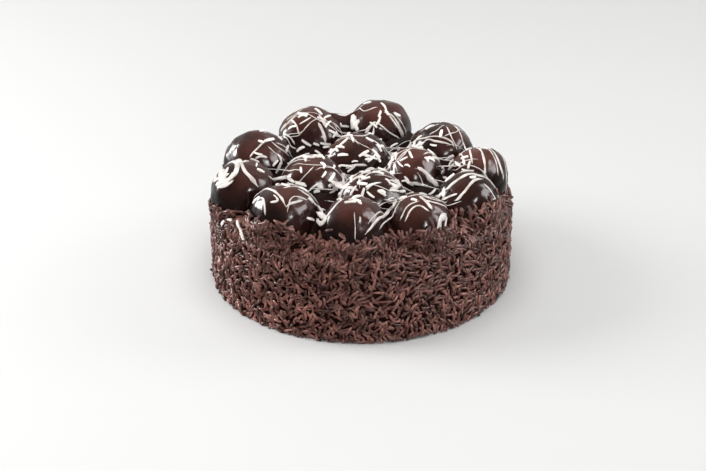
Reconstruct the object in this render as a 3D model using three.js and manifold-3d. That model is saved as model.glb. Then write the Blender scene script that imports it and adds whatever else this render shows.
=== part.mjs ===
// Profiterole cake: a round drum of cake whose wall is coated in chocolate vermicelli, with glazed
// choux buns packed side by side on top, ten round the edge and four in the middle, which carry
// threads of white chocolate and white chocolate slivers.
// Millimetres, +Z up, the base lies on z = 0 and the drum's axis is the Z axis.
import * as THREE from "three";
import { mergeVertices } from "three/addons/utils/BufferGeometryUtils.js";
import Module from "manifold-3d";

const wasm = await Module();
wasm.setup();

const GOLDEN_TURN = Math.PI * (3 - Math.sqrt(5));
const QUARTER_TURN = Math.PI / 2;

// Drum: its radius is taken over the vermicelli, which stand off the wall by the coat's relief
const CAKE_RADIUS = 100;
const COAT_RELIEF = 1.25;
const WALL_RADIUS = CAKE_RADIUS - COAT_RELIEF;
const DRUM_HEIGHT = 57;
const DRUM_SIDES = 48;
const TOP_EDGE_RADIUS = 5;
const TOP_EDGE_STEPS = 3;
const BASE_EDGE_RADIUS = 2;
const BASE_EDGE_STEPS = 2;

// Vermicelli pressed into the drum's wall and upper edge
const VERMICELLI_COUNT = 188;
const VERMICELLI_LENGTH = 6.4;
const VERMICELLI_RADIUS = 0.95;
const VERMICELLI_SIDES = 4;
const VERMICELLI_LIFT = COAT_RELIEF - VERMICELLI_RADIUS;
const VERMICELLI_TIP = THREE.MathUtils.degToRad(7);
const VERMICELLI_SEED = 20611;
const COAT_OVER_EDGE = 0.5 * TOP_EDGE_RADIUS;

// Vermicelli that climb the outer side of the buns along the front: the buns, where on them in turns
// from straight out, and how far out in half widths, by turns the lower and the upper ones
const CLIMBED_BUNS = [4, 5, 6, 7, 8];
const CLIMB_TURNS = [-0.72, -0.36, 0, 0.36, 0.72];
const CLIMB_REACHES = [0.998, 0.982];
const CLIMB_LIFT = VERMICELLI_LIFT - 0.55;

// Vermicelli heaped along the front, in the gaps between neighbouring buns: a wedge in each gap, its
// top sloping from a tip between the buns, so far out from the line between their middles, to the rim
const BANKED_GAPS = [[4, 5], [5, 6], [6, 7], [7, 8]];
const BANK_TIP_HEIGHT = 69;
const BANK_RIM_HEIGHT = DRUM_HEIGHT - 1;
const BANK_FOOT = DRUM_HEIGHT - 2 * TOP_EDGE_RADIUS;
const BANK_TIP = 8.5;
const BANK_REACH = 24;
const BANK_HALF_WIDTH = 9.5;

// Choux buns: a flat foot, a belly where the bun is widest and a dome above it. Foot and belly are
// shares of the half width and of the height, and a lump is a wave round the bun's outline
const BUN_FLOOR = DRUM_HEIGHT + 0.3;
const BUN_FOOT = 0.92;
const BUN_BELLY = 0.3;
const BUN_SIDES = 16;
const FOOT_STEPS = 2;
const DOME_STEPS = 4;
const LUMPS = [
  { waves: 2, size: 0.016, shift: 1.7, lean: 0 },
  { waves: 3, size: 0.011, shift: 2.9, lean: 1.1 },
  { waves: 5, size: 0.006, shift: 0.8, lean: -2 },
];

// Where each bun sits, and its width and height
const BUNS = [
  { x: 12, y: 74, width: 48, height: 33.5 },
  { x: -34.5, y: 61.5, width: 45.5, height: 32 },
  { x: -69.5, y: 24, width: 47, height: 32 },
  { x: -76, y: -22.5, width: 44.5, height: 32.5 },
  { x: -48, y: -58.5, width: 45, height: 33 },
  { x: -5, y: -75, width: 43, height: 33 },
  { x: 37.5, y: -66.5, width: 41.5, height: 31 },
  { x: 69, y: -37.5, width: 41.5, height: 31.5 },
  { x: 78, y: 3.5, width: 40.5, height: 30 },
  { x: 55, y: 42.5, width: 44, height: 30 },
  { x: -2, y: 28, width: 45, height: 28.5 },
  { x: 35, y: 2, width: 40, height: 29.5 },
  { x: 8, y: -32, width: 43.5, height: 30 },
  { x: -31.5, y: -8.5, width: 43, height: 29.5 },
];

// Threads of white chocolate: the bun each lies on, and three places in plan that it passes over
const THREAD_RADIUS = 0.9;
const THREAD_SINK = 0.25;
const THREAD_STEPS = 4;
const THREADS = [
  { bun: 1, over: [[-4, 62], [8, 57], [22, 60]] },
  { bun: 2, over: [[-29, 59], [-26, 52], [-25, 46]] },
  { bun: 3, over: [[-73, 7], [-68, 12], [-62, 19]] },
  { bun: 4, over: [[-84, -11], [-78, -25], [-69, -36]] },
  { bun: 5, over: [[-63, -56], [-55, -61], [-46, -74]] },
  { bun: 6, over: [[-19, -83], [-13, -79], [-8, -74]] },
  { bun: 6, over: [[-4, -79], [-3, -85], [-4, -91]] },
  { bun: 7, over: [[25, -77], [31, -74], [40, -74]] },
  { bun: 8, over: [[54, -43], [68, -38], [82, -37]] },
  { bun: 8, over: [[61, -51], [68, -48], [76, -43]] },
  { bun: 9, over: [[76, 8], [79, -1], [80, -9]] },
  { bun: 10, over: [[42, 34], [51, 29], [63, 28]] },
  { bun: 12, over: [[23, -7], [30, -4], [38, -1]] },
  { bun: 13, over: [[-3, -44], [5, -39], [19, -34]] },
  { bun: 14, over: [[-41, -16], [-32, -13], [-22, -12]] },
];

// Slivers of white chocolate: most lie towards the middle of the cake. The lean moves a bun's
// slivers towards the cake's axis, in half widths for each millimetre that the bun is away from it
const SLIVER_LENGTH = 7;
const SLIVER_WIDTH = 2.6;
const SLIVER_THICKNESS = 1.8;
const SLIVER_SINK = 0.25;
const SLIVERS_PER_BUN = 3;
const SLIVER_REACH = 0.5;
const SLIVER_LEAN = 0.0035;
const SLIVER_TURN = 3.1;

const CHOCOLATE_COAT = new THREE.MeshStandardMaterial({ color: 0x4a2c26, roughness: 0.6, metalness: 0 });
const CHOCOLATE_GLAZE = new THREE.MeshStandardMaterial({ color: 0x2e1915, roughness: 0.2, metalness: 0 });

// A repeatable random number between 0 and 1
function seededRandom(seed) {
  const multiplier = 16807;
  const modulus = 2147483647;
  let state = seed;
  return function next() {
    state = (state * multiplier) % modulus;
    return state / modulus;
  };
}

// A closed geometry as a solid that can be joined to another
function solidOf(geometry) {
  const bare = geometry.clone();
  bare.deleteAttribute("normal");
  bare.deleteAttribute("uv");
  const merged = mergeVertices(bare);
  return new wasm.Manifold(new wasm.Mesh({
    numProp: 3,
    vertProperties: new Float32Array(merged.attributes.position.array),
    triVerts: new Uint32Array(merged.index.array),
  }));
}

// A joined solid back as a geometry
function geometryOf(solid) {
  const mesh = solid.getMesh();
  const geometry = new THREE.BufferGeometry();
  geometry.setAttribute("position", new THREE.BufferAttribute(mesh.vertProperties, mesh.numProp));
  geometry.setIndex(new THREE.BufferAttribute(mesh.triVerts, 1));
  geometry.computeVertexNormals();
  return geometry;
}

// Turns a profile of (radius, height) points about the Z axis
function turned(profile, sides) {
  return new THREE.LatheGeometry(profile, sides).rotateX(QUARTER_TURN);
}

// Points on a round edge of the profile, swept through a quarter turn from the start angle
function roundedEdge(centreRadius, centreHeight, radius, start, steps) {
  return Array.from({ length: steps + 1 }, (_, step) => {
    const angle = start + (QUARTER_TURN * step) / steps;
    return new THREE.Vector2(
      centreRadius + radius * Math.cos(angle), centreHeight + radius * Math.sin(angle));
  });
}

// The bare drum: flat foot, upright wall, rounded edges and a flat top
function drumCore() {
  return turned([
    new THREE.Vector2(0, 0),
    ...roundedEdge(
      WALL_RADIUS - BASE_EDGE_RADIUS, BASE_EDGE_RADIUS, BASE_EDGE_RADIUS, -QUARTER_TURN, BASE_EDGE_STEPS),
    ...roundedEdge(
      WALL_RADIUS - TOP_EDGE_RADIUS, DRUM_HEIGHT - TOP_EDGE_RADIUS, TOP_EDGE_RADIUS, 0, TOP_EDGE_STEPS),
    new THREE.Vector2(0, DRUM_HEIGHT),
  ], DRUM_SIDES);
}

// A spot on the coated surface: it climbs the wall and then bends in over the upper edge
function coatSpot(climb, turn) {
  const wallTop = DRUM_HEIGHT - TOP_EDGE_RADIUS;
  const bend = Math.max(0, climb - wallTop) / TOP_EDGE_RADIUS;
  const radius = WALL_RADIUS - TOP_EDGE_RADIUS * (1 - Math.cos(bend));
  const height = Math.min(climb, wallTop) + TOP_EDGE_RADIUS * Math.sin(bend);
  return {
    point: new THREE.Vector3(radius * Math.cos(turn), radius * Math.sin(turn), height),
    normal: new THREE.Vector3(
      Math.cos(bend) * Math.cos(turn), Math.cos(bend) * Math.sin(turn), Math.sin(bend)),
    around: new THREE.Vector3(-Math.sin(turn), Math.cos(turn), 0),
  };
}

// One strand of vermicelli, pressed into a surface in a direction of its own, its axis lifted off it
function strandOn(spot, lift, random) {
  const { point, normal, around } = spot;
  const way = around.clone().applyAxisAngle(normal, Math.PI * random());
  const side = new THREE.Vector3().crossVectors(way, normal);
  way.applyAxisAngle(side, VERMICELLI_TIP * (2 * random() - 1));
  const outward = new THREE.Vector3().crossVectors(side, way);
  const place = new THREE.Matrix4().makeBasis(side, way, outward);
  place.setPosition(point.clone().addScaledVector(normal, lift));
  return new THREE.CapsuleGeometry(
    VERMICELLI_RADIUS, VERMICELLI_LENGTH - 2 * VERMICELLI_RADIUS, 1, VERMICELLI_SIDES, 1).applyMatrix4(place);
}

// The wedge of vermicelli heaped in the gap between two buns
function bankBetween(first, second) {
  const middle = new THREE.Vector2((first.x + second.x) / 2, (first.y + second.y) / 2);
  const along = new THREE.Vector2(second.x - first.x, second.y - first.y).normalize();
  const outward = new THREE.Vector2(along.y, -along.x);
  const corner = (out, side) => middle.clone().addScaledVector(outward, out).addScaledVector(along, side);
  const tip = corner(BANK_TIP, 0);
  const plan = new THREE.Shape(
    [tip, corner(BANK_REACH, BANK_HALF_WIDTH), corner(BANK_REACH, -BANK_HALF_WIDTH)]);
  const depth = BANK_RIM_HEIGHT - BANK_FOOT;
  const geometry = new THREE.ExtrudeGeometry(plan, { depth, bevelEnabled: false }).translate(0, 0, BANK_FOOT);
  const position = geometry.attributes.position;
  for (let vertex = 0; vertex < position.count; vertex += 1) {
    const atTip = Math.hypot(position.getX(vertex) - tip.x, position.getY(vertex) - tip.y) < 0.01;
    if (atTip && position.getZ(vertex) > BANK_FOOT) position.setZ(vertex, BANK_TIP_HEIGHT);
  }
  return geometry;
}

// The drum with its vermicelli, spread evenly on a golden spiral and turned every way
function coatedDrum() {
  const random = seededRandom(VERMICELLI_SEED);
  const lowest = BASE_EDGE_RADIUS + VERMICELLI_LENGTH / 2;
  const highest = DRUM_HEIGHT - TOP_EDGE_RADIUS + COAT_OVER_EDGE;
  let solid = solidOf(drumCore());
  for (const [first, second] of BANKED_GAPS) {
    solid = solid.add(solidOf(bankBetween(BUNS[first - 1], BUNS[second - 1])));
  }
  for (let count = 0; count < VERMICELLI_COUNT; count += 1) {
    const climb = lowest + ((highest - lowest) * (count + 0.5)) / VERMICELLI_COUNT;
    solid = solid.add(solidOf(strandOn(coatSpot(climb, count * GOLDEN_TURN), VERMICELLI_LIFT, random)));
  }
  return geometryOf(solid);
}

// How much wider or narrower than its half width a bun is, at a turn round it and a rise up its dome
function lumpiness(bun, turn, rise) {
  const number = BUNS.indexOf(bun);
  return LUMPS.reduce(
    (sum, lump) => sum + lump.size * Math.sin(lump.waves * turn + lump.shift * number + lump.lean * rise),
    1);
}

// The bare bun
function bunCore(bun) {
  const profile = [new THREE.Vector2(0, 0)];
  for (let step = 0; step < FOOT_STEPS; step += 1) {
    const bend = (QUARTER_TURN * step) / FOOT_STEPS;
    profile.push(new THREE.Vector2(
      BUN_FOOT + (1 - BUN_FOOT) * Math.sin(bend), BUN_BELLY * (1 - Math.cos(bend))));
  }
  for (let step = 0; step < DOME_STEPS; step += 1) {
    const rise = (QUARTER_TURN * step) / DOME_STEPS;
    profile.push(new THREE.Vector2(Math.cos(rise), BUN_BELLY + (1 - BUN_BELLY) * Math.sin(rise)));
  }
  profile.push(new THREE.Vector2(0, 1));
  const geometry = turned(profile, BUN_SIDES);
  const position = geometry.attributes.position;
  for (let vertex = 0; vertex < position.count; vertex += 1) {
    const [east, north, high] = [position.getX(vertex), position.getY(vertex), position.getZ(vertex)];
    const climb = THREE.MathUtils.clamp((high - BUN_BELLY) / (1 - BUN_BELLY), 0, 1);
    const swell = (bun.width / 2) * lumpiness(bun, Math.atan2(north, east), Math.asin(climb));
    position.setXYZ(vertex, bun.x + east * swell, bun.y + north * swell, BUN_FLOOR + high * bun.height);
  }
  return geometry;
}

// The spot on a bun's dome over a place given in half widths from the bun's middle, and its normal
function domeSpot(bun, east, north) {
  const halfWidth = bun.width / 2;
  const crown = bun.height * (1 - BUN_BELLY);
  const climb = Math.sqrt(1 - east * east - north * north);
  const swell = halfWidth * lumpiness(bun, Math.atan2(north, east), Math.asin(climb));
  return {
    point: new THREE.Vector3(
      bun.x + east * swell, bun.y + north * swell, BUN_FLOOR + bun.height - crown * (1 - climb)),
    normal: new THREE.Vector3(east / halfWidth, north / halfWidth, climb / crown).normalize(),
  };
}

// A thread of white chocolate lying across a bun, its square section partly sunk into the glaze
function threadOn(bun, over) {
  const halfWidth = bun.width / 2;
  const plan = new THREE.SplineCurve(over.map(([x, y]) => new THREE.Vector2(x - bun.x, y - bun.y)));
  const spots = plan.getSpacedPoints(THREAD_STEPS).map((place) => {
    const { point, normal } = domeSpot(bun, place.x / halfWidth, place.y / halfWidth);
    return point.addScaledVector(normal, -THREAD_SINK);
  });
  const section = new THREE.Shape();
  section.moveTo(THREAD_RADIUS, 0);
  section.lineTo(0, THREAD_RADIUS);
  section.lineTo(-THREAD_RADIUS, 0);
  section.lineTo(0, -THREAD_RADIUS);
  section.closePath();
  return new THREE.ExtrudeGeometry(section, {
    steps: THREAD_STEPS,
    bevelEnabled: false,
    extrudePath: new THREE.CatmullRomCurve3(spots),
  });
}

// A sliver of white chocolate lying flat on a bun, the bun's slivers spread on a golden spiral
function sliverOn(bun, count) {
  const spin = BUNS.indexOf(bun) + count * GOLDEN_TURN;
  const out = SLIVER_REACH * Math.sqrt((count + 0.5) / SLIVERS_PER_BUN);
  const { point, normal } = domeSpot(
    bun, out * Math.cos(spin) - SLIVER_LEAN * bun.x, out * Math.sin(spin) - SLIVER_LEAN * bun.y);
  const way = new THREE.Vector3(Math.cos(SLIVER_TURN * spin), Math.sin(SLIVER_TURN * spin), 0);
  way.projectOnPlane(normal).normalize();
  const across = new THREE.Vector3().crossVectors(normal, way);
  const place = new THREE.Matrix4().makeBasis(way, across, normal);
  place.setPosition(point.addScaledVector(normal, -SLIVER_SINK));
  return new THREE.BoxGeometry(SLIVER_LENGTH, SLIVER_WIDTH, SLIVER_THICKNESS).applyMatrix4(place);
}

// The strands of vermicelli that stick to the outer side of a bun
function climbersOn(bun, random) {
  const straightOut = Math.atan2(bun.y, bun.x);
  return CLIMB_TURNS.map((turn, count) => {
    const reach = CLIMB_REACHES[count % CLIMB_REACHES.length];
    const spot = domeSpot(bun, reach * Math.cos(straightOut + turn), reach * Math.sin(straightOut + turn));
    spot.around = new THREE.Vector3(-spot.normal.y, spot.normal.x, 0).normalize();
    return strandOn(spot, CLIMB_LIFT, random);
  });
}

// A bun with its threads and slivers, and its vermicelli where it is one of those along the front
function dressedBun(bun) {
  const number = BUNS.indexOf(bun) + 1;
  let solid = solidOf(bunCore(bun));
  if (CLIMBED_BUNS.includes(number)) {
    for (const strand of climbersOn(bun, seededRandom(number))) {
      solid = solid.add(solidOf(strand));
    }
  }
  for (const thread of THREADS.filter((each) => each.bun === number)) {
    solid = solid.add(solidOf(threadOn(bun, thread.over)));
  }
  for (let count = 0; count < SLIVERS_PER_BUN; count += 1) {
    solid = solid.add(solidOf(sliverOn(bun, count)));
  }
  return geometryOf(solid);
}

const cake = new THREE.Group();
cake.name = "profiterole_cake";

const drum = new THREE.Mesh(coatedDrum(), CHOCOLATE_COAT);
drum.name = "cake_drum";
cake.add(drum);

for (const bun of BUNS) {
  const mesh = new THREE.Mesh(dressedBun(bun), CHOCOLATE_GLAZE);
  mesh.name = `profiterole_${String(BUNS.indexOf(bun) + 1).padStart(2, "0")}`;
  cake.add(mesh);
}

export default cake;
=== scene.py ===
import math

import bmesh
import bpy
import numpy as np
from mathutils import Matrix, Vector, noise
from mathutils.bvhtree import BVHTree


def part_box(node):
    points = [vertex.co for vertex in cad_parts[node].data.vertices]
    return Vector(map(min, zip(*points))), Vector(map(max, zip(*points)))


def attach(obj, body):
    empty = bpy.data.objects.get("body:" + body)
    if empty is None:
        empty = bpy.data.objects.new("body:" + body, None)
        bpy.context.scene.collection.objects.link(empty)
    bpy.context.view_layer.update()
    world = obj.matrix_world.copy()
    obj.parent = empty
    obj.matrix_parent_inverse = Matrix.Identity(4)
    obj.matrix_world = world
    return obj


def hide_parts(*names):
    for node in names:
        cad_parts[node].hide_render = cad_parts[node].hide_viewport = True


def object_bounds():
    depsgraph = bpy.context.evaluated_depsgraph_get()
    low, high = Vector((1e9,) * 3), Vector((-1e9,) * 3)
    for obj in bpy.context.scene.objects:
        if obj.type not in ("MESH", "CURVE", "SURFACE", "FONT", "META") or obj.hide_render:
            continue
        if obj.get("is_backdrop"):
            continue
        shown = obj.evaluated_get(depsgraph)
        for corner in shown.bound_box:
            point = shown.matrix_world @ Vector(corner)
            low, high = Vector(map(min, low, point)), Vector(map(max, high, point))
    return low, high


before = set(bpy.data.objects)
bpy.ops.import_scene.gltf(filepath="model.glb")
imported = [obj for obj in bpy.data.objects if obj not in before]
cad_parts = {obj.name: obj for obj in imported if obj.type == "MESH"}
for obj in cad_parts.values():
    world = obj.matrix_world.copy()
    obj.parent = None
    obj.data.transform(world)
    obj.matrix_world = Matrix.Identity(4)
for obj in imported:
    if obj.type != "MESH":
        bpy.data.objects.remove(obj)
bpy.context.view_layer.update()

mm = 0.001

# The cake drum: filled sponge spread all over with dark chocolate cream, which holds the vermicelli.
# It is a plain round out of its tin, with a flat foot and an eased upper edge.
drum_low, drum_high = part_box("cake_drum")
bun_gap = 0.3 * mm
drum_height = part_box("profiterole_01")[0].z - bun_gap
coat_depth = 2.0 * mm
drum_radius = (drum_high.x - drum_low.x) / 2 - coat_depth
drum_sides = 192
edge_radius = 5 * mm
foot_radius = 2 * mm
wall_step = 3 * mm
wall_swell = 0.004
wall_swell_scale = 40
hair = 0.1 * mm
# The cream is dark chocolate, made near black as painted shade where it shows in the gaps between the
# vermicelli.
cream_dark_and_gap_shade = (0.011, 0.0022, 0.0014, 1)
cream_light_and_gap_shade = (0.026, 0.0058, 0.0038, 1)
speck_fineness = 5.0
speck_roughness = 0.22


def select_edges(obj, belongs):
    """Selects, in edit mode, the edges whose two ends both pass the test."""
    bpy.ops.mesh.select_mode(type="EDGE")
    bpy.ops.mesh.select_all(action="DESELECT")
    shape = bmesh.from_edit_mesh(obj.data)
    for edge in shape.edges:
        edge.select_set(all(belongs(v.co) for v in edge.verts))
    bmesh.update_edit_mesh(obj.data)


def new_node(tree, kind, **inputs):
    """Adds a node and sets its inputs, a space in an input's name written as an underscore."""
    node = tree.nodes.new(kind)
    for name, value in inputs.items():
        node.inputs[name.replace("_", " ")].default_value = value
    return node


def chocolate_mottle():
    """Node group: blotches of two chocolate colours, with a height and a roughness that follow them."""
    group = bpy.data.node_groups.new("chocolate_mottle", "ShaderNodeTree")
    for name, kind in (("Dark", "Color"), ("Light", "Color"), ("Scale", "Float"), ("Rough", "Float")):
        group.interface.new_socket(name, in_out="INPUT", socket_type=f"NodeSocket{kind}")
    for name, kind in (("Colour", "Color"), ("Height", "Float"), ("Roughness", "Float")):
        group.interface.new_socket(name, in_out="OUTPUT", socket_type=f"NodeSocket{kind}")
    given = group.nodes.new("NodeGroupInput")
    result = group.nodes.new("NodeGroupOutput")
    place = group.nodes.new("ShaderNodeTexCoord")
    blotch = new_node(group, "ShaderNodeTexNoise", Detail=4.0, Roughness=0.55)
    speck = new_node(group, "ShaderNodeTexNoise", Detail=2.0, Roughness=0.5)
    finer = group.nodes.new("ShaderNodeMath")
    finer.operation = "MULTIPLY"
    finer.inputs[1].default_value = speck_fineness
    mix = group.nodes.new("ShaderNodeMix")
    mix.data_type = "RGBA"
    spread = new_node(group, "ShaderNodeMapRange", From_Min=0.35, From_Max=0.65)
    rough = group.nodes.new("ShaderNodeMath")
    rough.operation = "MULTIPLY_ADD"
    rough.inputs[1].default_value = speck_roughness
    links = group.links
    for texture in (blotch, speck):
        links.new(place.outputs["Object"], texture.inputs["Vector"])
    links.new(given.outputs["Scale"], blotch.inputs["Scale"])
    links.new(given.outputs["Scale"], finer.inputs[0])
    links.new(finer.outputs[0], speck.inputs["Scale"])
    links.new(blotch.outputs["Fac"], spread.inputs["Value"])
    links.new(spread.outputs["Result"], mix.inputs["Factor"])
    links.new(given.outputs["Dark"], mix.inputs["A"])
    links.new(given.outputs["Light"], mix.inputs["B"])
    links.new(speck.outputs["Fac"], rough.inputs[0])
    links.new(given.outputs["Rough"], rough.inputs[2])
    links.new(mix.outputs["Result"], result.inputs["Colour"])
    links.new(speck.outputs["Fac"], result.inputs["Height"])
    links.new(rough.outputs[0], result.inputs["Roughness"])
    return group


mottle_group = chocolate_mottle()


def mottled_material(name, dark, light, scale, rough, bump, depth, shine=0.5):
    """A chocolate material with mottled colour and roughness and a fine uneven surface."""
    material = bpy.data.materials.new(name)
    material.use_nodes = True
    tree = material.node_tree
    shader = tree.nodes["Principled BSDF"]
    shader.inputs["Specular IOR Level"].default_value = shine
    mottle = tree.nodes.new("ShaderNodeGroup")
    mottle.node_tree = mottle_group
    mottle.inputs["Dark"].default_value = dark
    mottle.inputs["Light"].default_value = light
    mottle.inputs["Scale"].default_value = scale
    mottle.inputs["Rough"].default_value = rough
    relief = new_node(tree, "ShaderNodeBump", Strength=bump, Distance=depth)
    tree.links.new(mottle.outputs["Colour"], shader.inputs["Base Color"])
    tree.links.new(mottle.outputs["Roughness"], shader.inputs["Roughness"])
    tree.links.new(mottle.outputs["Height"], relief.inputs["Height"])
    tree.links.new(relief.outputs["Normal"], shader.inputs["Normal"])
    return material


bpy.ops.object.select_all(action="DESELECT")
bpy.ops.mesh.primitive_cylinder_add(
    vertices=drum_sides, radius=drum_radius, depth=drum_height, location=(0, 0, drum_height / 2))
drum = bpy.context.object
drum.name = "cake_core"
bpy.ops.object.transform_apply(location=True, rotation=True, scale=True)
bpy.ops.object.mode_set(mode="EDIT")
select_edges(drum, lambda co: co.z > drum_height - hair)
bpy.ops.mesh.bevel(offset=edge_radius, segments=6, affect="EDGES")
select_edges(drum, lambda co: co.z < hair)
bpy.ops.mesh.bevel(offset=foot_radius, segments=3, affect="EDGES")
for cut in np.arange(foot_radius + wall_step, drum_height - edge_radius, wall_step):
    bpy.ops.mesh.select_all(action="SELECT")
    bpy.ops.mesh.bisect(plane_co=(0, 0, cut), plane_no=(0, 0, 1))
bpy.ops.object.mode_set(mode="OBJECT")
for vertex in drum.data.vertices:
    if foot_radius < vertex.co.z < drum_height - edge_radius:
        vertex.co.xy *= 1 + wall_swell * noise.noise(vertex.co * wall_swell_scale)
bpy.ops.object.shade_smooth_by_angle(angle=math.radians(40))
# Dark chocolate cream, with painted shade for the gaps between the strands.
cream = mottled_material(
    "chocolate_cream_and_gap_shade", cream_dark_and_gap_shade, cream_light_and_gap_shade,
    scale=220, rough=0.55, bump=0.8, depth=1.2 * mm, shine=0.15)
drum.data.materials.append(cream)
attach(drum, "root")
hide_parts("cake_drum")

# Choux buns: round baked shells, dipped whole in dark chocolate glaze and set side by side while
# it is wet. The baked crust's swells show through the glaze as a soft, uneven gloss.
bun_nodes = [name for name in sorted(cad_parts) if name.startswith("profiterole")]
bun_sides = 80
bun_rings = 56
bun_foot = 0.92
bun_belly = 0.3
topping_height = 0.6 * mm
lumps = ((2, 0.016, 1.7, 0.0), (3, 0.011, 2.9, 1.1), (5, 0.006, 0.8, -2.0))
crust_swells = ((1.4 * mm, 58), (0.75 * mm, 140), (0.2 * mm, 400))
crust_shift = 0.1
crust_start = 0.25
# Painted shade: each bun's flanks keep only this share of its crown's lightness.
flank_painted_shade = 0.05
crown_start = 0.4
glaze_dark = (0.009, 0.0034, 0.0026, 1)
glaze_light = (0.050, 0.0156, 0.0110, 1)
# Each bun's crown lightness, in the order of the buns: partly the thinner glaze over the crust, partly
# painted light set to how the light falls on that bun.
crown_painted_light = (0.70, 0.75, 1.0, 0.35, 0.50, 0.90, 0.50, 0.38, 0.75, 0.70, 0.70, 0.65, 0.70, 0.75)


def tone_and_painted_light_material(name, dark, light, shades, **finish):
    """A mottled chocolate material whose lightness also follows each point's own tone and painted light
    and shade.
    """
    material = mottled_material(name, dark, light, **finish)
    tree = material.node_tree
    shader = tree.nodes["Principled BSDF"]
    own = tree.nodes.new("ShaderNodeAttribute")
    own.attribute_name = "tone_and_painted_light"
    shade = new_node(tree, "ShaderNodeMapRange", To_Min=shades[0], To_Max=shades[1])
    blend = tree.nodes.new("ShaderNodeMix")
    blend.data_type = "RGBA"
    blend.blend_type = "MULTIPLY"
    blend.inputs["Factor"].default_value = 1.0
    colour = shader.inputs["Base Color"].links[0].from_socket
    tree.links.new(own.outputs["Fac"], shade.inputs["Value"])
    tree.links.new(colour, blend.inputs["A"])
    tree.links.new(shade.outputs["Result"], blend.inputs["B"])
    tree.links.new(blend.outputs["Result"], shader.inputs["Base Color"])
    return material


def set_tone_and_painted_light(shape, tones_and_painted_light):
    """Gives every corner of a mesh its own lightness, which carries random tone and painted light and
    shade.
    """
    shade = shape.attributes.new("tone_and_painted_light", "FLOAT", "POINT")
    shade.data.foreach_set("value", np.asarray(tones_and_painted_light, np.float32))


def eased(value):
    """A step from 0 to 1 with soft ends."""
    value = min(1.0, max(0.0, value))
    return value * value * (3 - 2 * value)


glaze = tone_and_painted_light_material(
    "chocolate_glaze", glaze_dark, glaze_light, shades=(0.36, 2.3),
    scale=30, rough=0.09, bump=0.18, depth=0.5 * mm, shine=0.42)

bpy.ops.object.select_all(action="DESELECT")
bpy.ops.mesh.primitive_uv_sphere_add(segments=bun_sides, ring_count=bun_rings, radius=1)
pattern = bpy.context.object
foot_level = -math.sqrt(1 - bun_foot ** 2)
bpy.ops.object.mode_set(mode="EDIT")
bpy.ops.mesh.select_all(action="SELECT")
bpy.ops.mesh.bisect(plane_co=(0, 0, foot_level), plane_no=(0, 0, 1), use_fill=True, clear_inner=True)
bpy.ops.mesh.select_all(action="SELECT")
bpy.ops.mesh.normals_make_consistent(inside=False)
bpy.ops.object.mode_set(mode="OBJECT")
pattern_corners = [v.co.copy() for v in pattern.data.vertices]

buns = []
for number, node in enumerate(bun_nodes):
    low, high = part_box(node)
    middle = (low + high) / 2
    half_width = (high.x - low.x + high.y - low.y) / 4
    height = high.z - topping_height - low.z
    bun = bpy.data.objects.new(node.replace("profiterole", "glazed_bun"), pattern.data.copy())
    bpy.context.collection.objects.link(bun)
    tones_and_painted_light = []
    for vertex, co in zip(bun.data.vertices, pattern_corners):
        spin = math.atan2(co.y, co.x)
        rise = math.asin(max(0.0, min(1.0, co.z)))
        swell = 1 + sum(
            size * math.sin(waves * spin + shift * number + lean * rise)
            for waves, size, shift, lean in lumps)
        level = bun_belly * (1 - co.z / foot_level) if co.z < 0 else bun_belly + (1 - bun_belly) * co.z
        spot = Vector((co.x * half_width * swell, co.y * half_width * swell, level * height))
        seen = spot + Vector((number * crust_shift, 0, 0))
        puff = sum(size * noise.noise(seen * often) for size, often in crust_swells)
        spot += co * puff * min(1.0, level / crust_start)
        vertex.co = spot + Vector((middle.x, middle.y, low.z))
        # Painted light and shade: the crown lighter, the flanks darker.
        crown = eased((level - crown_start) / (1 - crown_start))
        tones_and_painted_light.append(crown_painted_light[number] * (flank_painted_shade + (1 - flank_painted_shade) * crown))
    set_tone_and_painted_light(bun.data, tones_and_painted_light)
    bun.data.polygons.foreach_set("use_smooth", np.ones(len(bun.data.polygons), bool))
    bun.data.materials.append(glaze)
    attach(bun, "root")
    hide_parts(node)
    buns.append((bun, middle, half_width))
bpy.data.objects.remove(pattern)

# Glaze bed: the chocolate that ran off the buns while wet and set between them on top of the drum,
# where it climbs against every bun and joins the two at the back by a web. Along the front it is
# banked up from the rim into the gaps between the buns, which gives the vermicelli their hold there.
bed_radius = drum_radius - 1.2 * mm
bed_fill = 9 * mm
bed_climb = 7 * mm
bed_run = 8 * mm
bed_sink = 0.3 * mm
bed_thickness = 1.5 * mm
bed_ripple = 0.5 * mm
bed_ripple_scale = 120
rim_bare = 4 * mm
rim_slope = 18 * mm
bank_cover = 1.5 * mm
bank_slope = 0.8
sight_slope = 0.53
web_height = 29 * mm
web_dip = 3.5 * mm
web_dip_share = 0.2
web_reach = 12 * mm
# How high the vermicelli reach, in millimetres, at bearings in degrees anticlockwise from +X.
coat_tops = (
    (0, 57), (180, 57), (187, 57), (190, 58), (200, 64), (207, 67), (214, 68), (218, 70), (222, 72),
    (229, 76), (238, 77), (246, 75), (268, 74), (285, 77), (300, 75), (318, 78), (325, 78), (329, 76),
    (334, 71), (340, 67), (348, 62), (356, 57), (360, 57))
bed_rings = 80
bed_steps = 240
bpy.ops.object.select_all(action="DESELECT")
bpy.ops.mesh.primitive_circle_add(vertices=3, radius=bed_radius, fill_type="NOTHING")
bed = bpy.context.object
bed.name = "glaze_bed"
bpy.ops.object.mode_set(mode="EDIT")
bpy.ops.mesh.delete(type="VERT")
profile = bmesh.from_edit_mesh(bed.data)
spots = [profile.verts.new((bed_radius * step / bed_rings, 0, 0)) for step in range(bed_rings + 1)]
for inner, outer in zip(spots, spots[1:]):
    profile.edges.new((inner, outer))
bmesh.update_edit_mesh(bed.data)
bpy.ops.mesh.select_all(action="SELECT")
bpy.ops.mesh.spin(steps=bed_steps, angle=2 * math.pi, center=(0, 0, 0), axis=(0, 0, 1))
bpy.ops.mesh.select_all(action="SELECT")
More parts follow.
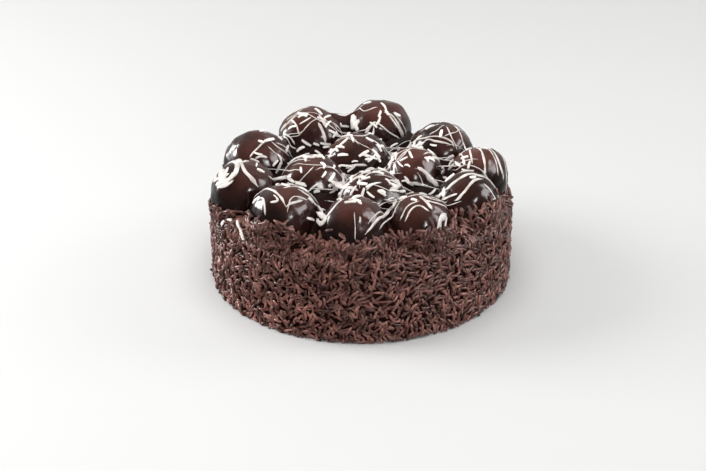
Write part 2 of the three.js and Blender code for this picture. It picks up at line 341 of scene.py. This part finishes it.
bpy.ops.mesh.remove_doubles(threshold=0.02 * mm)
bpy.ops.mesh.normals_make_consistent(inside=False)
bpy.ops.object.mode_set(mode="OBJECT")


def coat_top(spot):
    """How high the vermicelli reach at a place on the cake, lower the further in from the wall it is."""
    bearing = math.degrees(math.atan2(spot.y, spot.x)) % 360
    inward = drum_radius - spot.xy.length
    sight = sight_slope * max(0.0, -math.sin(math.radians(bearing)))
    return np.interp(bearing, *zip(*coat_tops)) * mm - sight * inward


web_start, web_end = buns[0][1].xy, buns[1][1].xy
web_way = web_end - web_start
for vertex in bed.data.vertices:
    spot = vertex.co.copy()
    from_rim = bed_radius - spot.xy.length
    lift = bed_fill
    for _, middle, half_width in buns:
        away = (spot.xy - middle.xy).length - bun_foot * half_width
        lift += bed_climb * max(0.0, 1 - max(away, 0.0) / bed_run) ** 2
    lift = min(lift, bed_fill + bed_climb) * eased((from_rim - rim_bare) / rim_slope)
    bank = min(coat_top(spot) - bank_cover - drum_height, bank_slope * from_rim)
    share = min(1.0, max(0.0, (spot.xy - web_start).dot(web_way) / web_way.length_squared))
    from_web = (spot.xy - web_start - share * web_way).length
    web = web_height - web_dip * eased(1 - abs(share - 0.5) / web_dip_share)
    lift = max(lift, web * eased(1 - from_web / web_reach))
    ripple = bed_ripple * noise.noise(spot * bed_ripple_scale)
    vertex.co.z = drum_height - bed_sink + max(lift, bank) + ripple
if bed.data.polygons[0].normal.z < 0:
    bed.data.flip_normals()
bpy.ops.object.select_all(action="DESELECT")
bed.select_set(True)
bpy.context.view_layer.objects.active = bed
shell = bed.modifiers.new("thickness", "SOLIDIFY")
shell.thickness = bed_thickness
shell.offset = -1
bpy.ops.object.modifier_apply(modifier=shell.name)
bed.data.polygons.foreach_set("use_smooth", np.ones(len(bed.data.polygons), bool))
# Painted light and shade on the bed: lighter the higher it stands, up the web at the back, darker low down
# between the buns.
set_tone_and_painted_light(bed.data, [eased((v.co.z - drum_height - bed_fill) / web_height) for v in bed.data.vertices])
set_glaze = tone_and_painted_light_material(
    "set_glaze", glaze_dark, glaze_light, shades=(0.36, 1.6),
    scale=30, rough=0.4, bump=0.18, depth=0.5 * mm, shine=0.12)
bed.data.materials.append(set_glaze)
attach(bed, "root")

# Chocolate vermicelli: short extruded strands of dark chocolate, pressed by the handful into the
# cream on the wall, so that they lie every way and overlap. Along the front they climb onto the buns.
wall_strands = 4900
climbing_strands = 1450
strand_sides = 5
strand_length = (3.9 * mm, 7.0 * mm)
strand_radius = (0.8 * mm, 1.12 * mm)
strand_bend = 0.2 * mm
strand_tip = 0.85
strand_bulge = 1.14
strand_turn = 0.6
strand_tilt = 0.12
loose_share = 0.05
loose_tilt = 0.6
swirl_scale = 75
swirl_turn = 0.9 * math.pi
coat_layer = 2.2 * mm
coat_foot = 0.2 * mm
coat_turn_in = 3 * mm
lowest_strand = 1.0 * mm
climb_levels = (drum_height - 3 * mm, 79 * mm)
climb_inner_radius = 80 * mm
climb_sink = 2.2 * mm
climb_wave = 1.2 * mm
climb_wave_scale = 6
climb_fray = 1.6 * mm
outside = 130 * mm
# Painted light and shade on the strands: lighter at the foot of the wall and darker towards its top,
# between these heights.
painted_light_heights = (0, 70 * mm)
painted_light_factors = (1.15, 0.58)
strand_dark = (0.064, 0.0182, 0.0124, 1)
strand_light = (0.275, 0.1230, 0.0985, 1)
draw = np.random.default_rng(20611)

bpy.ops.object.select_all(action="DESELECT")
bpy.ops.mesh.primitive_cylinder_add(vertices=strand_sides, radius=1, depth=1, end_fill_type="TRIFAN")
strand = bpy.context.object
bpy.ops.object.mode_set(mode="EDIT")
bpy.ops.mesh.select_all(action="SELECT")
bpy.ops.mesh.bisect(plane_co=(0, 0, 0), plane_no=(0, 0, 1))
bpy.ops.object.mode_set(mode="OBJECT")


def take_shape(obj):
    """A model's corners and triangles as arrays, the model itself then removed."""
    obj.data.calc_loop_triangles()
    corners = np.array([v.co for v in obj.data.vertices])
    triangles = np.array([t.vertices for t in obj.data.loop_triangles])
    shape = obj.data
    bpy.data.objects.remove(obj)
    bpy.data.meshes.remove(shape)
    return corners, triangles


def joined_mesh(name, corners, triangles, tone_and_painted_light):
    """One object of many copies: corners as (copy, corner, xyz), the same triangles in each copy."""
    copies, per_copy = corners.shape[:2]
    faces = triangles[None] + (np.arange(copies) * per_copy)[:, None, None]
    shape = bpy.data.meshes.new(name)
    shape.from_pydata(corners.reshape(-1, 3).tolist(), [], faces.reshape(-1, 3).tolist())
    shape.polygons.foreach_set("use_smooth", np.ones(len(shape.polygons), bool))
    set_tone_and_painted_light(shape, np.repeat(tone_and_painted_light, per_copy))
    obj = bpy.data.objects.new(name, shape)
    bpy.context.collection.objects.link(obj)
    return obj


def unit(vectors):
    """Each vector at length one."""
    return vectors / np.linalg.norm(vectors, axis=-1, keepdims=True)


def merged_surface(objects):
    """The joined surface of several pieces, to lay toppings on."""
    corners, faces = [], []
    for obj in objects:
        start = len(corners)
        corners.extend(v.co.copy() for v in obj.data.vertices)
        faces.extend([start + i for i in face.vertices] for face in obj.data.polygons)
    return BVHTree.FromPolygons(corners, faces)


strand_corners, strand_faces = take_shape(strand)
at_axis = np.linalg.norm(strand_corners[:, :2], axis=1) < 0.01
tips = np.abs(strand_corners[:, 2]) > 0.4
strand_corners[tips & ~at_axis, :2] *= strand_tip
strand_corners[at_axis, 2] *= strand_bulge

wall_top = drum_height - edge_radius
edge_length = edge_radius * math.pi / 2
climb_end = wall_top + edge_length + coat_turn_in
rows = round(math.sqrt(wall_strands * climb_end / (2 * math.pi * drum_radius)))
per_row = wall_strands // rows
row, column = np.divmod(np.arange(rows * per_row), per_row)
climb = (row + draw.random(row.size)) / rows * climb_end
turn = (column + 0.5 * (row % 2) + draw.random(row.size) - 0.5) / per_row * 2 * math.pi
climb = np.clip(climb, lowest_strand, climb_end)
bend = np.clip((climb - wall_top) / edge_radius, 0, math.pi / 2)
inward = np.clip(climb - wall_top - edge_length, 0, None)
out = drum_radius - edge_radius * (1 - np.cos(bend)) - inward
up = np.minimum(climb, wall_top) + edge_radius * np.sin(bend)
place = np.stack([out * np.cos(turn), out * np.sin(turn), up], 1)
normal = np.stack([np.cos(bend) * np.cos(turn), np.cos(bend) * np.sin(turn), np.sin(bend)], 1)

top_surface = merged_surface([bun for bun, *_ in buns] + [bed, drum])
climbers = []
while len(climbers) < climbing_strands:
    angle = draw.uniform(0, 2 * math.pi)
    radial = Vector((math.cos(angle), math.sin(angle), 0))
    ragged = climb_wave * noise.noise(radial * climb_wave_scale) + draw.exponential(climb_fray)
    level = draw.uniform(*climb_levels)
    spot, facing, _, _ = top_surface.ray_cast(radial * outside + Vector((0, 0, level)), -radial)
    if spot is None or spot.xy.length < climb_inner_radius:
        continue
    if level < coat_top(spot) - climb_sink + ragged:
        climbers.append((spot, facing))
place = np.vstack([place, [spot for spot, facing in climbers]])
normal = np.vstack([normal, [facing for spot, facing in climbers]])

strand_count = len(place)
around = unit(np.cross([0, 0, 1], normal))
rising = np.cross(normal, around)
swirl = np.array([noise.noise(Vector(p) * swirl_scale) for p in place])
angle = math.pi / 2 + swirl_turn * swirl + draw.normal(0, strand_turn, strand_count)
tip = draw.normal(0, strand_tilt, strand_count)
loose = draw.random(strand_count) < loose_share
tip = np.where(loose, draw.uniform(-loose_tilt, loose_tilt, strand_count), tip)
way = np.cos(angle)[:, None] * around + np.sin(angle)[:, None] * rising
way = np.cos(tip)[:, None] * way + np.sin(tip)[:, None] * normal
side = unit(np.cross(way, normal))
lift = np.cross(side, way)
length = draw.uniform(*strand_length, strand_count)
radius = draw.uniform(*strand_radius, strand_count)
stand = draw.uniform(0, coat_layer, strand_count)
crook = draw.normal(0, strand_bend, strand_count)
place = place + normal * stand[:, None]
u, v, w = strand_corners.T
corners = (
    place[:, None]
    + side[:, None] * (radius[:, None] * u + crook[:, None] * (1 - 4 * w * w))[..., None]
    + lift[:, None] * (radius[:, None] * v)[..., None]
    + way[:, None] * (length[:, None] * w)[..., None])
corners[..., 2] = np.maximum(corners[..., 2], coat_foot)
tones_and_painted_light = draw.random(strand_count)
# Painted shade up the wall, over each strand's random tone.
tones_and_painted_light *= np.interp(place[:, 2], painted_light_heights, painted_light_factors)
vermicelli = joined_mesh("vermicelli", corners, strand_faces, tones_and_painted_light)
sprinkle = tone_and_painted_light_material(
    "vermicelli_chocolate", strand_dark, strand_light, shades=(0.36, 1.6),
    scale=160, rough=0.28, bump=0.4, depth=0.4 * mm, shine=0.62)
vermicelli.data.materials.append(sprinkle)
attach(vermicelli, "root")

# White chocolate drizzle: melted white chocolate flicked off a spoon in threads, which lie over the
# buns in arcs and loops, bridge the narrow gaps and set. A few run down onto the vermicelli.
# Some broad strokes in the list below are also painted highlights on the buns.
thread_step = 0.8 * mm
thread_sides = 8
thread_lift = 0.12 * mm
thread_height = 0.8
thread_taper = 0.1
thread_tip = 0.25
bead_size = 0.5
bead_scale = 160
bridge_span = 15 * mm
bridge_step = 0.15 * mm
white_dark = (0.49, 0.437, 0.40, 1)
white_light = (0.76, 0.712, 0.675, 1)
# Each thread's half width and the places in plan that it passes over, in millimetres.
threads = (
    (1.3, ((-89, -14), (-85, -7), (-80, -14), (-75, -31), (-66, -39))),
    # These eight thick strokes make the white patch on the left bun's upper left side: drizzle, and also a
    # painted highlight.
    (1.8, ((-88, -19), (-84, -16), (-80, -24), (-81, -32), (-86, -35), (-90, -36))),
    (2.4, ((-92, -15), (-91, -22), (-90, -29), (-89, -35))),
    (2.2, ((-95, -16), (-95, -22), (-94, -28))),
    (1.4, ((-86, -24), (-88, -29), (-92, -32))),
    (1.8, ((-94, -31), (-90, -34), (-85, -34), (-81, -31))),
    (1.6, ((-95, -26), (-90, -30), (-85, -30))),
    (1.2, ((-92, -35), (-87, -37), (-82, -36))),
    (2.2, ((-89, -23), (-90, -29), (-87, -33))),
    (0.9, ((-73, -58), (-70, -52), (-65, -55), (-60, -55), (-53, -66), (-47, -75))),
    (0.7, ((-66, -65), (-63, -64), (-61, -69), (-60, -76))),
    (0.8, ((-55, -67), (-52, -72), (-57, -72))),
    (0.9, ((-47, -75), (-42, -71), (-37, -67))),
    (0.8, ((-52, -55), (-48, -52), (-43, -52))),
    (0.8, ((-44, -23), (-40, -25), (-36, -27))),
    (0.9, ((-60, -27), (-54, -25), (-48, -20))),
    (0.6, ((-48, 57), (-44, 50), (-42, 45))),
    (0.6, ((-42, 50), (-38, 51), (-34, 53))),
    (0.6, ((-53, 51), (-49, 47), (-45, 43))),
    (0.9, ((-29, 50), (-26, 46), (-24, 42))),
    (0.9, ((-29, 58), (-26, 53), (-24, 49))),
    (1.3, ((-26, 40), (-24, 40), (-21, 41))),
    (1.0, ((-22, 24), (-19, 23), (-16, 20))),
    (0.6, ((-74, 5), (-68, 10), (-62, 18))),
    (0.8, ((-70, 4), (-66, 5), (-62, 5))),
    (1.4, ((-4, 63), (-3, 57), (-2, 52))),
    (2.3, ((-5, 68), (-5, 63), (-5, 59))),
    (1.7, ((-1, 62), (-3, 61), (-5, 60))),
    (0.9, ((-2, 52), (4, 53), (10, 56))),
    (0.6, ((9, 56), (19, 53.5), (27, 56))),
    (0.5, ((3, 27), (11, 24), (18, 25))),
    (0.6, ((-6, 29), (2, 28), (8, 40), (9, 53))),
    (0.7, ((-37, -5), (-31, -4), (-25, -4))),
    (1.1, ((-10, 8), (-5, 8), (0, 7), (4, 8))),
    (0.6, ((19, 1), (21, 4), (24, 8))),
    (0.4, ((22, -5), (28, 0), (34, 4))),
    (0.45, ((0, -40), (4, -34), (12, -27), (19, -24))),
    (0.6, ((3, -46), (7, -43), (13, -40))),
    (0.35, ((-3, -42), (1, -37), (6, -30))),
    (0.6, ((1, -26), (10, -24), (18, -27))),
    (1.5, ((-20, -23), (-16, -28), (-11, -35))),
    (1.5, ((-1, -33), (-6, -34.5), (-12, -35))),
    (1.3, ((-11, -20), (-11, -27), (-11, -35))),
    (1.4, ((-9, -32), (-13, -37), (-19, -43))),
    (1.2, ((-12, -35), (-7, -41), (-2, -45))),
    (0.9, ((-15, -32), (-11, -35), (-7, -38))),
    (1.0, ((-17, -29), (-12, -34), (-8, -35))),
    (0.5, ((-1, -44), (-1, -36), (4, -27), (11, -24), (19, -26), (25, -33))),
    (0.4, ((-60, 17), (-54, 15), (-48, 19))),
    (0.4, ((-57, 18), (-50, 21), (-46, 24))),
    (0.4, ((-62, 12), (-57, 10), (-51, 12))),
    (0.4, ((-53, 50), (-48, 44), (-44, 41))),
    (0.4, ((-51, 61), (-45, 61), (-40, 64))),
    (0.4, ((-54, 57), (-47, 58), (-42, 60))),
    (0.9, ((19, 62), (24, 58), (29, 58))),
    (0.4, ((22, 65), (28, 62), (32, 62))),
    (0.8, ((16, 63), (22, 62), (26, 59), (30, 59))),
    (0.6, ((34, 42), (45, 32.5), (60, 28.5), (63, 25))),
    (0.4, ((35, 8), (29, -1), (24, -5))),
    (1.2, ((23, 7), (21, 3), (18, -1))),
    (1.0, ((10, -46), (14, -46), (15, -48))),
    (1.3, ((18, -36), (24, -34), (24, -37), (18, -44))),
    (0.8, ((-22, -82), (-17, -79), (-11, -75))),
    (1.0, ((-40, -61), (-34, -60), (-28, -61), (-25, -68), (-24, -76))),
    (1.5, ((-28, -73), (-22, -82), (-26, -80), (-28, -73))),
    (0.24, ((-4.5, -88), (-4, -93), (-4, -96))),
    (0.9, ((23, -60), (18, -71), (12, -82), (7, -90), (2, -94.5))),
    (0.5, ((21, -58), (15, -71), (9.5, -83), (4, -91))),
    (0.5, ((26, -65), (20, -73), (15, -80), (11, -88))),
    (1.1, ((-8, -76), (-3, -78), (0, -82))),
    (0.6, ((24, -79), (29, -75), (36, -73))),
    (0.6, ((27, -81), (31, -78), (36, -76), (42, -79))),
    (0.9, ((36, -69), (40, -73), (44, -77))),
    (0.6, ((39, -73), (46, -71), (54, -67))),
    # This thick stroke on the front right bun is drizzle and also a painted highlight.
    (1.9, ((53, -73), (49, -80), (48, -85))),
    (0.8, ((53, -74), (52, -80), (49, -84))),
    (1.1, ((47, -60), (51, -50), (56, -43), (64, -40), (70, -38), (78, -37), (86, -36))),
    (1.0, ((59, -54), (66, -50), (72, -44), (78, -40))),
    (0.7, ((51, -60), (56, -55), (61, -51))),
    (0.5, ((81, -53), (83, -50), (86, -46))),
    (0.5, ((78, -44), (83, -46), (86, -47))),
    (0.5, ((80, -35), (85, -38), (88, -42))),
    (0.5, ((82, 12), (88, 3), (92, -4), (94, -7))),
    (0.5, ((81, 9), (88, -2), (90, -10))),
    (0.6, ((65, 8), (67, 1), (68, -8))),
    (0.6, ((72, 6), (72, 1), (73, -9))),
    (0.7, ((76, 12), (79, 2), (81, -8), (81, -15))),
    (0.6, ((85, 8), (90, -2), (93, -7))),
    (0.4, ((89, 13), (94, 6), (96, -1), (96, -5))),
    (0.9, ((65, 3), (67, 6), (70, 11))),
    (0.4, ((46, 33), (52, 36), (57, 43))),
    (0.6, ((33, 14), (42, 31), (51, 28), (62, 26))),
    (1.2, ((34, 40), (38, 34), (43, 31))),
    (0.5, ((63, 46), (68, 35), (71, 12))),
    (0.4, ((58, 40), (61, 31), (65, 25))),
    (0.35, ((40, 42), (47, 41), (54, 45))),
    (0.6, ((41, -2), (52, 10), (60, 12))),
    # This broad smear on an inner bun's flank is a painted highlight, laid as white chocolate.
    (2.0, ((37, -11), (41, -12), (46, -13), (51, -13))),
    (1.5, ((46, 22), (49, 22), (53, 21))),
    (1.5, ((57, 21), (60, 22), (63, 23))),
)
# Fine threads flicked at random, their ranges in millimetres and radians.
thin_threads = 85
flick_across = (-55, 80)
flick_deep = (-80, 75)
flick_heading = (-0.9, 0.9)
flick_reach = (7, 16)
flick_bow = (-5, 5)
flick_width = (0.22, 0.42)
flick_limit = 90
flick_overhang = 0.6


def smooth_route(places, step):
    """Places in plan, in millimetres, joined by a smooth curve and read off at even steps, in metres."""
    knots = np.array(places, float) * mm
    padded = np.vstack([2 * knots[0] - knots[1], knots, 2 * knots[-1] - knots[-2]])
    route = []
    for a, b, c, d in zip(padded, padded[1:], padded[2:], padded[3:]):
        count = max(2, math.ceil(np.linalg.norm(c - b) / step))
        for t in np.arange(count) / count:
            route.append(0.5 * (2 * b + (c - a) * t + (2 * a - 5 * b + 4 * c - d) * t ** 2
                                + (3 * b - a - 3 * c + d) * t ** 3))
    return np.array(route + [knots[-1]])


sky = drum_height + 60 * mm


def landing(x, y):
    """Where something dropped over a place in plan comes to lie, and the surface's direction there."""
    spot, facing, _, _ = top_surface.ray_cast(Vector((x, y, sky)), Vector((0, 0, -1)))
    return (spot, facing) if spot else (Vector((x, y, drum_height)), Vector((0, 0, 1)))


def spread_filter(values, reach, pick):
    """Each value replaced by the largest or smallest within a reach on both sides."""
    padded = np.pad(values, reach, mode="edge")
    return pick(np.lib.stride_tricks.sliding_window_view(padded, 2 * reach + 1), axis=1)


def thread_route(places):
    """A thread's route over the cake, read off at even steps, with the surface's direction along it."""
    reach = round(bridge_span / bridge_step / 2)
    plan = smooth_route(places, bridge_step)
    before = plan[0] + (plan[0] - plan[1]) * np.arange(reach, 0, -1)[:, None]
    after = plan[-1] + (plan[-1] - plan[-2]) * np.arange(1, reach + 1)[:, None]
    landed = [landing(x, y) for x, y in np.vstack([before, plan, after])]
    route = np.array([spot for spot, facing in landed])
    facing = np.array([facing for spot, facing in landed])
    bridged = spread_filter(spread_filter(route[:, 2], reach, np.max), reach, np.min)
    route[:, 2] = np.maximum(route[:, 2], bridged)
    route, facing = route[reach:-reach], facing[reach:-reach]
    walked = np.concatenate([[0], np.cumsum(np.linalg.norm(np.diff(route, axis=0), axis=1))])
    steps = np.linspace(0, walked[-1], max(5, round(walked[-1] / thread_step)))
    route = np.stack([np.interp(steps, walked, column) for column in route.T], 1)
    facing = np.stack([np.interp(steps, walked, column) for column in facing.T], 1)
    window = np.array([1, 2, 3, 2, 1]) / 9
    for line in (route, facing):
        for axis in range(3):
            line[2:-2, axis] = np.convolve(line[:, axis], window, "valid")
    return route, unit(facing)


def thread_mesh(route, facing, width, flatness):
    """Corners and faces of one thread laid along a route, flattened against the surface."""
    ahead = unit(np.gradient(route, axis=0))
    across = unit(np.cross(ahead, facing))
    outward = np.cross(across, ahead)
    spin = np.arange(thread_sides) / thread_sides * 2 * math.pi
    ring = (across[:, None] * np.cos(spin)[None, :, None]
            + outward[:, None] * (flatness * np.sin(spin))[None, :, None])
    corners = (route[:, None] + ring * width[:, None, None]).reshape(-1, 3)
    faces = []
    for k in range(len(route) - 1):
        for s in range(thread_sides):
            t = (s + 1) % thread_sides
            here, there = k * thread_sides, (k + 1) * thread_sides
            faces.append((here + s, there + s, there + t, here + t))
    faces.append(tuple(range(thread_sides)))
    faces.append(tuple(range(len(corners) - 1, len(corners) - 1 - thread_sides, -1)))
    return corners, faces


draw = np.random.default_rng(511)
flicks = []
for count in range(thin_threads):
    middle = np.array([draw.uniform(*flick_across), draw.uniform(*flick_deep)])
    heading = draw.uniform(*flick_heading)
    reach, bow = draw.uniform(*flick_reach), draw.uniform(*flick_bow)
    ahead = np.array([math.cos(heading), math.sin(heading)])
    across = np.array([-ahead[1], ahead[0]])
    if np.hypot(*middle) + flick_overhang * reach < flick_limit:
        flicks.append((draw.uniform(*flick_width),
                       (middle - reach * ahead, middle + bow * across, middle + reach * ahead)))

drizzle_corners, drizzle_faces = [], []
for width, places in threads + tuple(flicks):
    route, facing = thread_route(places)
    route = route + facing * thread_lift
    along = np.linspace(0, 1, len(route))
    taper = np.clip(np.minimum(along, 1 - along) / thread_taper, thread_tip, 1)
    beads = 1 + bead_size * np.array([noise.noise(Vector(spot) * bead_scale) for spot in route])
    flatness = thread_height / (1 + width)
    corners, faces = thread_mesh(route, facing, width * mm * taper * beads, flatness)
    start = len(drizzle_corners)
    drizzle_corners.extend(corners.tolist())
    drizzle_faces.extend(tuple(start + i for i in face) for face in faces)
shape = bpy.data.meshes.new("white_drizzle")
shape.from_pydata(drizzle_corners, [], drizzle_faces)
shape.polygons.foreach_set("use_smooth", np.ones(len(shape.polygons), bool))
drizzle = bpy.data.objects.new("white_drizzle", shape)
bpy.context.collection.objects.link(drizzle)
white_chocolate = mottled_material(
    "white_chocolate", white_dark, white_light, scale=150, rough=0.28, bump=0.2, depth=0.3 * mm)
drizzle.data.materials.append(white_chocolate)
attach(drizzle, "root")

# White chocolate slivers: thin curls shaved off a block with a knife and scattered by hand over the
# middle of the cake, where they stick to the wet glaze.
sliver_length = (4.0 * mm, 8.5 * mm)
sliver_width = (1.2 * mm, 2.2 * mm)
sliver_thickness = 0.85 * mm
sliver_lift = 0.3 * mm
sliver_curl = 0.3 * mm
sliver_sweep = 0.3 * mm
sliver_point = 0.9
sliver_turn = 0.9
sliver_tilt = 0.35
sliver_dark = (0.74, 0.68, 0.62, 1)
sliver_light = (0.92, 0.89, 0.85, 1)
slivers_per_bun = 3
bun_spread = 0.5
bun_pull = 3.5
golden_turn = math.pi * (3 - math.sqrt(5))
scattered_slivers = 95
scatter_radius = 56 * mm
gap_favour = 1.7
gap_depth = 22 * mm
# Slivers that fell on the wall: bearing in degrees, height in millimetres and slope in degrees.
fallen_slivers = ((213, 65, 20), (219, 66, -60), (221, 60.5, -66), (207, 58, 50))
# Places in plan of the slivers that are laid on the top one by one, in millimetres.
sliver_places = (
    (-61, 17), (-68, -21), (-68, 6), (-54, 9), (-57, 5), (-55, 6), (-51, -15), (-41, 40), (-36, -9),
    (-39, -19), (-39, -26), (-30, -6), (-25, -15), (-32, -63), (-66, -63), (-53, 57), (-47, 50), (-40, 56),
    (-37, 42), (-27, 54), (-23, 58), (-19, 49), (-11, 33), (-24, 42), (-16, 19), (-12, 14), (-4, 63),
    (13, 61), (18, 63), (25, 65), (2, 13), (12, 21), (5, 11), (11, 14), (-4, 9), (-7, 8),
    (22, 5), (19, 0), (26, -8), (43, -5), (54, 2), (47, -1), (60, 6), (-19, -24), (-12, -14), (-5, -31),
    (-17, -24), (-13, -19), (-5, -44), (1, -47), (13, -46), (21, -38), (30, -17), (22, -47), (26, -65),
    (-3, -78), (-32, -72), (62, -8), (70, -11), (36, -18), (41, -17),
    (-12, -16), (-18, -25), (-6, -34), (-14, -20), (-11, 9), (-6, 7),
    (7, 12), (10, 16), (14, 24), (-19, 23), (-14, 20), (-29, -6), (-38, 0), (-34, -8), (-26, -3),
    (-20, -22), (20, -39), (17, -38), (22, -39), (24, -32), (13, -47), (29, -17), (32, -18), (19, -47),
    (21, -42), (21, 2), (20, -1), (-18, 49), (-16, 51), (-14, 62), (-11, 64), (37, 36), (34, 39),
    (46, -3), (60, 0), (64, -4), (68, -6), (71, -9), (-7, -80), (6, -48))
bpy.ops.object.select_all(action="DESELECT")
bpy.ops.mesh.primitive_cube_add(size=1)
sliver = bpy.context.object
bpy.ops.object.mode_set(mode="EDIT")
for cut in (-0.25, 0.0, 0.25):
    bpy.ops.mesh.select_all(action="SELECT")
    bpy.ops.mesh.bisect(plane_co=(cut, 0, 0), plane_no=(1, 0, 0))
bpy.ops.object.mode_set(mode="OBJECT")
sliver_corners, sliver_faces = take_shape(sliver)
draw = np.random.default_rng(7150)
spots = [(x * mm, y * mm) for x, y in sliver_places]
for number, (_, middle, half_width) in enumerate(buns):
    inner = middle * (1 - bun_pull * half_width)
    for count in range(slivers_per_bun):
        spin = number + count * golden_turn
        reach = bun_spread * half_width * math.sqrt((count + 0.5) / slivers_per_bun)
        spots.append((inner.x + reach * math.cos(spin), inner.y + reach * math.sin(spin)))
scattered = len(spots) + scattered_slivers
while len(spots) < scattered:
    reach, turn = scatter_radius * draw.random() ** 0.5, draw.uniform(0, 2 * math.pi)
    x, y = reach * math.cos(turn), reach * math.sin(turn)
    rise = landing(x, y)[0].z - drum_height
    if draw.random() < gap_favour - rise / gap_depth:
        spots.append((x, y))
resting = []
for x, y in spots:
    heading = draw.normal(0, sliver_turn)
    way = Vector((math.cos(heading), math.sin(heading), draw.normal(0, sliver_tilt)))
    resting.append((*landing(x, y), way))
for bearing, level, lean in fallen_slivers:
    a, tilt = math.radians(bearing), math.radians(lean)
    facing = Vector((math.cos(a), math.sin(a), 0))
    spot = facing * drum_high.x + Vector((0, 0, level * mm))
    way = Vector((-math.sin(a) * math.cos(tilt), math.cos(a) * math.cos(tilt), math.sin(tilt)))
    resting.append((spot, facing, way))
copies = []
for spot, facing, way in resting:
    way = (way - way.dot(facing) * facing).normalized()
    side = facing.cross(way)
    long, wide = draw.uniform(*sliver_length), draw.uniform(*sliver_width)
    curl, sweep = draw.normal(sliver_curl, sliver_curl), draw.normal(0, sliver_sweep)
    ends = 1 - sliver_point * np.abs(sliver_corners[:, 0]) ** 1.5
    along = sliver_corners[:, 0] * long
    bow = 1 - 4 * sliver_corners[:, 0] ** 2
    across = sliver_corners[:, 1] * wide * ends + sweep * bow
    above = sliver_corners[:, 2] * sliver_thickness + sliver_lift + curl * (bow - 0.5)
    copies.append(
        np.array(spot) + along[:, None] * np.array(way) + across[:, None] * np.array(side)
        + above[:, None] * np.array(facing))
slivers = joined_mesh("white_slivers", np.array(copies), sliver_faces, draw.random(len(copies)))
slivers.data.polygons.foreach_set("use_smooth", np.zeros(len(slivers.data.polygons), bool))
shaved = mottled_material(
    "shaved_white_chocolate", sliver_dark, sliver_light, scale=150, rough=0.35, bump=0.2, depth=0.3 * mm)
slivers.data.materials.append(shaved)
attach(slivers, "root")

# The studio: a pale floor under soft boxes overhead, at each side and in front, with three lamps that
# show only as gleams, a bright wall behind and a dim room in front. The camera looks down from the front.
floor_size = 8
floor_colour = (0.58, 0.58, 0.575, 1)
aim = Vector((0, 0, 60 * mm))
wall_glow = 0.55
room_glow = 0.13
# Each light's bearing and elevation in degrees, distance, width and height in metres, and watts.
boxes = (
    ("top_box", -90, 82, 1.6, 1.6, 1.6, 24),
    ("left_box", 172, 30, 1.4, 0.85, 0.8, 17),
    ("right_box", 10, 30, 1.6, 0.7, 0.7, 6.5),
    ("front_fill", -80, 12, 2.2, 1.6, 0.5, 18))
gleams = (
    ("left_gleam", 156, 13, 1.39, 0.62, 0.45, 24),
    ("right_gleam", -3, 32, 1.39, 0.85, 0.75, 14),
    ("front_gleam", -64, 34, 1.39, 0.3, 0.3, 6.5))
bpy.ops.object.select_all(action="DESELECT")
bpy.ops.mesh.primitive_plane_add(size=floor_size)
floor = bpy.context.object
floor.name = "studio_floor"
pale = bpy.data.materials.new("studio_floor_paint")
pale.use_nodes = True
paint = pale.node_tree.nodes["Principled BSDF"].inputs
paint["Base Color"].default_value = floor_colour
paint["Roughness"].default_value = 0.7
paint["Specular IOR Level"].default_value = 0.1
floor.data.materials.append(pale)
floor.visible_glossy = False
floor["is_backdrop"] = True


def soft_box(name, bearing, elevation, distance, width, height, power):
    """A soft light facing the cake, its bearing in degrees anticlockwise from +X."""
    a, e = math.radians(bearing), math.radians(elevation)
    from_cake = Vector((math.cos(a) * math.cos(e), math.sin(a) * math.cos(e), math.sin(e)))
    light = bpy.data.lights.new(name, "AREA")
    light.shape = "ELLIPSE"
    light.size, light.size_y = width, height
    light.energy = power
    lamp = bpy.data.objects.new(name, light)
    lamp.location = from_cake * distance + aim
    lamp.rotation_euler = (-from_cake).to_track_quat("-Z", "Y").to_euler()
    bpy.context.collection.objects.link(lamp)
    return lamp


for box in boxes:
    soft_box(*box).visible_glossy = False
for gleam in gleams:
    soft_box(*gleam).visible_diffuse = False

world = bpy.data.worlds.new("studio_air")
world.use_nodes = True
sky_tree = world.node_tree
way = sky_tree.nodes.new("ShaderNodeTexCoord")
parts = sky_tree.nodes.new("ShaderNodeSeparateXYZ")
behind = new_node(
    sky_tree, "ShaderNodeMapRange", From_Min=-0.25, From_Max=0.55, To_Min=room_glow, To_Max=wall_glow)
behind.interpolation_type = "SMOOTHSTEP"
sky_tree.links.new(way.outputs["Generated"], parts.inputs["Vector"])
sky_tree.links.new(parts.outputs["Y"], behind.inputs["Value"])
sky_tree.links.new(behind.outputs["Result"], sky_tree.nodes["Background"].inputs["Strength"])
sky_tree.nodes["Background"].inputs["Color"].default_value = (1, 1, 1, 1)
bpy.context.scene.world = world
bpy.context.scene.view_settings.view_transform = "Standard"

camera_place = Vector((-5.3, -1073.2, 595.2)) * mm
camera_pitch = 28
picture_width = 706
focal_pixels = 1800
eye = bpy.data.cameras.new("camera")
eye.sensor_width = 36
eye.lens = eye.sensor_width * focal_pixels / picture_width
camera = bpy.data.objects.new("camera", eye)
camera.location = camera_place
camera.rotation_euler = (math.radians(90 - camera_pitch), 0, 0)
bpy.context.collection.objects.link(camera)
bpy.context.scene.camera = camera

bpy.context.view_layer.update()
low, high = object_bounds()
